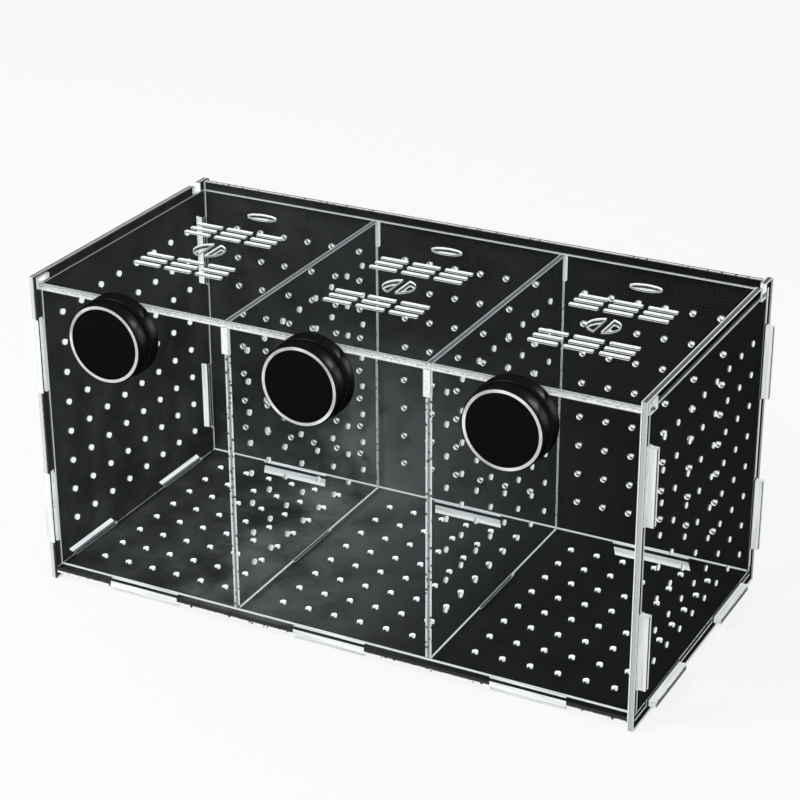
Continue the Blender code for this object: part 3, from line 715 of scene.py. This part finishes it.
def moulded(name, low, high, roughness, shine):
    """Moulded black plastic or rubber with a fine uneven sheen, the same from every side."""
    material = new_material(name)
    place = add_node(material, "ShaderNodeTexCoord")
    grain = add_node(material, "ShaderNodeTexNoise", {"Scale": 900.0, "Detail": 3.0},
                     {"Vector": place.outputs["Object"]})
    rough = add_node(material, "ShaderNodeMapRange",
                     {"To Min": roughness - 0.06, "To Max": roughness + 0.06},
                     {"Value": grain.outputs["Fac"]})
    body = add_node(material, "ShaderNodeBsdfPrincipled", {"Specular IOR Level": 0.0},
                    {"Base Color": tones(material, grain.outputs["Fac"], (0.3, low), (0.7, high)),
                     "Roughness": rough.outputs["Result"]})
    sheen = add_node(material, "ShaderNodeBsdfAnisotropic", {"Color": linear(shine)},
                     {"Roughness": rough.outputs["Result"]})
    return show(material, add_node(material, "ShaderNodeAddShader", {},
                                   {0: body.outputs[0], 1: sheen.outputs[0]}))


def metal(name, low, high, roughness):
    """Bare or plated metal with fine uneven polish."""
    material = new_material(name)
    place = add_node(material, "ShaderNodeTexCoord")
    polish = add_node(material, "ShaderNodeTexNoise", {"Scale": 90.0, "Detail": 3.0},
                      {"Vector": place.outputs["Object"]})
    return show(material, add_node(
        material, "ShaderNodeBsdfPrincipled", {"Metallic": 1.0, "Roughness": roughness},
        {"Base Color": tones(material, polish.outputs["Fac"], (0.3, low), (0.7, high))}))


HOUSING = moulded("moulded_black_plastic", "#050505", "#0a0a0a", 0.32, "#121212")
FACE = moulded("gloss_black_plastic", "#040404", "#070707", 0.25, "#0b0c0b")
RUBBER = moulded("black_rubber_pad", "#111111", "#1a1a1a", 0.75, "#0c0c0c")
RING = metal("bright_trim_aluminium", "#a2a4a6", "#f6f7f7", 0.2)
MAGNET = metal("nickel_plated_magnet", "#9a9b9c", "#b4b5b6", 0.3)
for side, x in MAGNET_X.items():
    holder = turned(x, (0.0186, 0.0003), (0.0192, 0.0005), (0.0194, 0.0010), (0.0194, 0.0056),
                    (0.0192, 0.0066), (0.0188, 0.0072), (0.0182, 0.0075), (0.0178, 0.0075),
                    (0.0178, 0.0018))
    cap = turned(x, (0.0150, 0.0127), (0.0172, 0.0127), (0.0172, 0.0081), (0.0182, 0.0081),
                 (0.0186, 0.0083), (0.0188, 0.0087), (0.0188, 0.0149), (0.0187, 0.0152),
                 (0.0185, 0.0153), (0.01835, 0.0153), (0.01835, 0.0142))
    ring = turned(x, (0.0182, 0.0145), (0.0182, 0.0151), (0.0181, 0.0154), (0.0178, 0.0155),
                  (0.0170, 0.0155), (0.0168, 0.0154))
    bore = rod((x, FRONT - BORE_MIDDLE, MAGNET_Z), "y", BORE_RADIUS, ROUND_SIDES, BORE_LENGTH)
    shape(ring, "DIFFERENCE", bore)
    disc = turned(x, (0.0164, 0.0145), (0.0164, 0.0150), (0.0162, 0.0151))
    for piece, part, surface, slot, body in (
            (holder, "holder_cup", HOUSING, "black_plastic", "box"),
            (cap, "cap_cup", HOUSING, "black_plastic", side + "_cap"),
            (ring, "trim_ring", RING, "bright_trim", side + "_cap"),
            (disc, "face_disc", FACE, "gloss_black_plastic", side + "_cap")):
        piece.name = piece.data.name = side + "_" + part + "_fine"
        piece.data.materials.clear()
        piece.data.materials.append(surface)
        only(piece)
        bpy.ops.object.shade_smooth_by_angle(angle=math.radians(40))
        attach(piece, body)
        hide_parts(side + "_" + part)
    for part, surface in (("holder_pad", RUBBER), ("cap_pad", RUBBER), ("holder_core", MAGNET),
                          ("cap_core", MAGNET)):
        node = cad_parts[side + "_" + part]
        node.data.materials.clear()
        node.data.materials.append(surface)

# ------------------------------------------------------------------ floor, light and camera
# A plain pale floor, a soft white room and two area lamps, one large and soft. The camera
# stands at the photograph's angle, in front of the box, to its right and above it.
def when_seen(material):
    """1 for what is seen directly, in a gloss or through the acrylic, and 0 for its light."""
    path = add_node(material, "ShaderNodeLightPath")
    camera_or_glossy = add_node(
        material, "ShaderNodeMath", {"operation": "MAXIMUM"},
        {0: path.outputs["Is Camera Ray"], 1: path.outputs["Is Glossy Ray"]})
    return add_node(
        material, "ShaderNodeMath", {"operation": "MAXIMUM"},
        {0: camera_or_glossy.outputs[0], 1: path.outputs["Is Transmission Ray"]}).outputs[0]


def lamp_at(place, target, name):
    """A soft area lamp that shines from one place at another."""
    bpy.ops.object.select_all(action="DESELECT")
    bpy.ops.object.light_add(type="AREA", location=place)
    lamp = bpy.context.active_object
    lamp.name = name
    lamp.rotation_euler = (Vector(target) - Vector(place)).to_track_quat("-Z", "Y").to_euler()
    return lamp


bpy.ops.object.select_all(action="DESELECT")
bpy.ops.mesh.primitive_plane_add(size=14, location=(0, 0, 0))
floor = bpy.context.active_object
floor.name = "floor"
# Matt pale paper. It is lifted towards white where it is seen.
FLOOR = new_material("pale_floor")
lift = add_node(FLOOR, "ShaderNodeMath", {"operation": "MULTIPLY", 1: 0.8},
                {0: when_seen(FLOOR)})
paint = add_node(FLOOR, "ShaderNodeBsdfDiffuse", {"Color": linear("#f4f4f3")})
glow = add_node(FLOOR, "ShaderNodeEmission", {"Color": (1, 1, 1, 1), "Strength": 1.0})
show(FLOOR, add_node(FLOOR, "ShaderNodeMixShader", {},
                     {0: lift.outputs[0], 1: paint.outputs[0], 2: glow.outputs[0]}))
floor.data.materials.append(FLOOR)

world = bpy.data.worlds.new("soft_room")
bpy.context.scene.world = world
world.use_nodes = True
world.node_tree.nodes.clear()
room = add_node(world, "ShaderNodeBackground", {"Color": linear("#ffffff"), "Strength": 0.62})
white = add_node(world, "ShaderNodeBackground", {"Color": linear("#ffffff"), "Strength": 1.0})
mixed = add_node(world, "ShaderNodeMixShader", {},
                 {0: when_seen(world), 1: room.outputs[0], 2: white.outputs[0]})
add_node(world, "ShaderNodeOutputWorld", {}, {"Surface": mixed.outputs[0]})

lamp = lamp_at((-0.75, -0.95, 1.25), (0, 0, 0.08), "soft_lamp")
lamp.data.shape, lamp.data.size, lamp.data.energy = "DISK", 0.7, 14.0
# Behind the box to its right: it draws the bright line round the magnets' housings.
glint = lamp_at((0.80, 1.15, 0.50), (0, -0.08, 0.135), "glint_lamp")
glint.data.shape, glint.data.size, glint.data.size_y = "RECTANGLE", 0.25, 1.1
glint.data.energy = 60.0
glint.visible_diffuse = False

AZIMUTH, ELEVATION, ROLL = (math.radians(a) for a in (27.3856, 25.5846, -0.2172))
TARGET = Vector((0.000249, 0.006356, 0.078460))
DISTANCE = 1.09306
ahead = Vector((-math.sin(AZIMUTH) * math.cos(ELEVATION),
                math.cos(AZIMUTH) * math.cos(ELEVATION), -math.sin(ELEVATION)))
right = Vector((math.cos(AZIMUTH), math.sin(AZIMUTH), 0))
up = right.cross(ahead)
right, up = (right * math.cos(ROLL) + up * math.sin(ROLL),
             up * math.cos(ROLL) - right * math.sin(ROLL))
turn = Matrix((right, up, -ahead)).transposed()
bpy.ops.object.select_all(action="DESELECT")
bpy.ops.object.camera_add(location=TARGET - ahead * DISTANCE)
camera = bpy.context.active_object
camera.name = "photo_camera"
camera.rotation_euler = turn.to_euler()
camera.data.lens = 105.82
camera.data.sensor_width = 36.0
camera.data.shift_x, camera.data.shift_y = -0.00218, 0.03796
camera.data.clip_start, camera.data.clip_end = 0.05, 50.0
bpy.context.scene.camera = camera
bpy.context.scene.view_settings.view_transform = "Standard"
